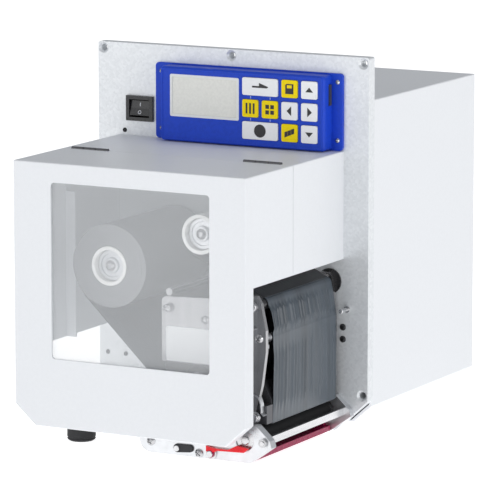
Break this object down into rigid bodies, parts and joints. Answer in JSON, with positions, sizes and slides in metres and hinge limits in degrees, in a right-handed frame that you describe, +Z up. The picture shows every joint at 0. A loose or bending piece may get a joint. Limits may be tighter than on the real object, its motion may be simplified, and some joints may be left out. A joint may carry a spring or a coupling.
{
  "type": "thermal-transfer label print module",
  "caption": "Label print module with a mounting plate, hinged windowed cover, operator panel, ribbon reels, liftable print head, print roller and rear electronics housing.",
  "frame": {"origin": "bottom centre of the bounding box: under the feet, midway across the mounting plate and midway from the cover's front to the rear housing's back", "axes": "+X to the right of someone facing the cover, +Y from the cover's front to the rear housing, +Z up"},
  "size_m": [0.245, 0.363, 0.302],
  "materials": {
    "white_coat": "fine-textured powder coat",
    "galvanised_plate": "mottled zinc surface",
    "machined_aluminium": "milled and clear anodised",
    "ground_steel": "ground",
    "hinge_steel": "plain",
    "screw_steel": "dark zinc",
    "clear_pane": "clear sheet",
    "blue_plastic": "satin moulded",
    "white_key": "printed membrane",
    "yellow_key": "printed membrane",
    "display_window": "clear window over a grey display",
    "card_plastic": "moulded",
    "black_plastic": "moulded",
    "black_metal": "black finished metal",
    "port_metal": "plated",
    "circuit_board": "solder mask",
    "motor_black": "satin",
    "roller_rubber": "ground rubber",
    "belt_rubber": "moulded teeth left plain",
    "foot_rubber": "moulded",
    "card_core": "wound",
    "ribbon_film": "wax-coated film",
    "head_grey": "satin",
    "red_coat": "gloss",
    "dark_red_coat": "gloss"
  },
  "bodies": {
    "chassis": {"mounting_plate": "galvanised_plate", "chassis_screws": "screw_steel", "fixed_cover": "white_coat", "fixed_hinge_leaves": "hinge_steel", "rear_cover": "white_coat", "rear_panel": "white_coat", "power_inlet": "black_plastic", "interface_ports": "port_metal", "mainboard": "circuit_board", "power_supply": "galvanised_plate", "drive_motor": "motor_black", "drive_belt": "belt_rubber", "reel_motors": "motor_black", "ribbon_film_spans": "ribbon_film", "mechanism_rods": "ground_steel", "front_bearing_plate": "machined_aluminium", "rear_bearing_block": "machined_aluminium", "roller_bearings": "ground_steel", "peel_plate": "ground_steel", "label_bed": "machined_aluminium", "foot_rail": "galvanised_plate", "feet": "foot_rubber", "panel_base": "blue_plastic", "panel_housing": "blue_plastic", "panel_display": "display_window", "switch_bezel": "black_plastic"},
    "cover": {"hinged_cover": "white_coat", "cover_pane": "clear_pane", "moving_hinge_leaves": "hinge_steel"},
    "head_unit": {"head_side_plates": "ground_steel", "head_beam": "black_metal", "thermal_head": "head_grey", "deflector_bar": "ground_steel", "head_screws": "screw_steel", "ribbon_film_on_head": "ribbon_film"},
    "guide_roller": {"ribbon_guide_roller": "black_plastic"},
    "lock_shaft": {"head_lock_shaft": "ground_steel"},
    "supply_reel": {"supply_hub": "machined_aluminium", "supply_core": "card_core", "supply_ribbon_roll": "ribbon_film"},
    "takeup_reel": {"takeup_hub": "machined_aluminium", "takeup_core": "card_core"},
    "print_roller": {"print_roller_shaft": "ground_steel", "print_roller_sleeve": "roller_rubber"},
    "motor_shaft": {"motor_pulley": "machined_aluminium"},
    "card": {"memory_card": "card_plastic"},
    "rocker": {"switch_rocker": "black_plastic"},
    "lever": {"locking_lever": "red_coat", "locking_bar": "dark_red_coat"},
    "pressure_roller": {"pinch_roller": "roller_rubber"},
    "feed_key_body": {"feed_key": "white_key"},
    "load_key_body": {"load_key": "yellow_key"},
    "up_key_body": {"up_key": "white_key"},
    "menu_key_body": {"menu_key": "yellow_key"},
    "function_key_body": {"function_key": "yellow_key"},
    "left_key_body": {"left_key": "white_key"},
    "right_key_body": {"right_key": "white_key"},
    "pause_key_body": {"pause_key": "white_key"},
    "pages_key_body": {"pages_key": "yellow_key"},
    "down_key_body": {"down_key": "white_key"}
  },
  "joints": [
    {"name": "cover_hinge", "type": "hinge", "parent": "chassis", "child": "cover", "pos_m": [0, -0.1045, 0.227], "axis": [-1, 0, 0], "range_deg": [0, 110]},
    {"name": "print_roller_turn", "type": "hinge", "parent": "chassis", "child": "print_roller", "pos_m": [0.0873, -0.0885, 0.0195], "axis": [0, 1, 0], "continuous": true},
    {"name": "motor_turn", "type": "hinge", "parent": "chassis", "child": "motor_shaft", "pos_m": [0.044, 0.0015, 0.074], "axis": [0, 1, 0], "continuous": true},
    {"name": "supply_reel_turn", "type": "hinge", "parent": "chassis", "child": "supply_reel", "pos_m": [-0.0467, -0.0785, 0.1407], "axis": [0, 1, 0], "continuous": true},
    {"name": "takeup_reel_turn", "type": "hinge", "parent": "chassis", "child": "takeup_reel", "pos_m": [0.0344, -0.0785, 0.172], "axis": [0, 1, 0], "continuous": true},
    {"name": "head_lift", "type": "hinge", "parent": "chassis", "child": "head_unit", "pos_m": [0.0152, -0.0785, 0.1155], "axis": [0, -1, 0], "range_deg": [0, 4], "deforming": ["ribbon_film_spans"]},
    {"name": "lock_turn", "type": "hinge", "parent": "chassis", "child": "lock_shaft", "pos_m": [0.04, -0.0785, 0.061], "axis": [0, 1, 0], "range_deg": [0, 90]},
    {"name": "guide_roller_turn", "type": "hinge", "parent": "head_unit", "child": "guide_roller", "pos_m": [0.0888, -0.0785, 0.1224], "axis": [0, 1, 0], "continuous": true},
    {"name": "lever_swing", "type": "hinge", "parent": "chassis", "child": "lever", "pos_m": [0.0584, -0.0885, 0.0066], "axis": [0, 1, 0], "range_deg": [0, 25]},
    {"name": "pressure_roller_turn", "type": "hinge", "parent": "lever", "child": "pressure_roller", "pos_m": [0.07757, -0.0885, 0.01134], "axis": [0, 1, 0], "continuous": true},
    {"name": "card_slide", "type": "slide", "parent": "chassis", "child": "card", "axis": [1, 0, 0], "range_m": [0, 0.025]},
    {"name": "rocker_tilt", "type": "hinge", "parent": "chassis", "child": "rocker", "pos_m": [-0.08335, -0.0165, 0.24955], "axis": [1, 0, 0], "range_deg": [0, 23]},
    {"name": "feed_key_press", "type": "slide", "parent": "chassis", "child": "feed_key_body", "axis": [0, 1, 0], "range_m": [0, 0.0005], "stiffness_N_per_m": 800, "springref_m": -0.0005},
    {"name": "load_key_press", "type": "slide", "parent": "chassis", "child": "load_key_body", "axis": [0, 1, 0], "range_m": [0, 0.0005], "stiffness_N_per_m": 800, "springref_m": -0.0005},
    {"name": "up_key_press", "type": "slide", "parent": "chassis", "child": "up_key_body", "axis": [0, 1, 0], "range_m": [0, 0.0005], "stiffness_N_per_m": 800, "springref_m": -0.0005},
    {"name": "menu_key_press", "type": "slide", "parent": "chassis", "child": "menu_key_body", "axis": [0, 1, 0], "range_m": [0, 0.0005], "stiffness_N_per_m": 800, "springref_m": -0.0005},
    {"name": "function_key_press", "type": "slide", "parent": "chassis", "child": "function_key_body", "axis": [0, 1, 0], "range_m": [0, 0.0005], "stiffness_N_per_m": 800, "springref_m": -0.0005},
    {"name": "left_key_press", "type": "slide", "parent": "chassis", "child": "left_key_body", "axis": [0, 1, 0], "range_m": [0, 0.0005], "stiffness_N_per_m": 800, "springref_m": -0.0005},
    {"name": "right_key_press", "type": "slide", "parent": "chassis", "child": "right_key_body", "axis": [0, 1, 0], "range_m": [0, 0.0005], "stiffness_N_per_m": 800, "springref_m": -0.0005},
    {"name": "pause_key_press", "type": "slide", "parent": "chassis", "child": "pause_key_body", "axis": [0, 1, 0], "range_m": [0, 0.0005], "stiffness_N_per_m": 800, "springref_m": -0.0005},
    {"name": "pages_key_press", "type": "slide", "parent": "chassis", "child": "pages_key_body", "axis": [0, 1, 0], "range_m": [0, 0.0005], "stiffness_N_per_m": 800, "springref_m": -0.0005},
    {"name": "down_key_press", "type": "slide", "parent": "chassis", "child": "down_key_body", "axis": [0, 1, 0], "range_m": [0, 0.0005], "stiffness_N_per_m": 800, "springref_m": -0.0005}
  ],
  "couplings": [
    {"joint": "motor_turn", "follows": "print_roller_turn", "ratio": 1.3333},
    {"joint": "supply_reel_turn", "follows": "print_roller_turn", "ratio": -0.26866},
    {"joint": "takeup_reel_turn", "follows": "print_roller_turn", "ratio": 0.52632},
    {"joint": "guide_roller_turn", "follows": "print_roller_turn", "ratio": -1.8367},
    {"joint": "pressure_roller_turn", "follows": "print_roller_turn", "ratio": -2.6471},
    {"joint": "head_lift", "follows": "lock_turn", "ratio": 0.044444}
  ]
}
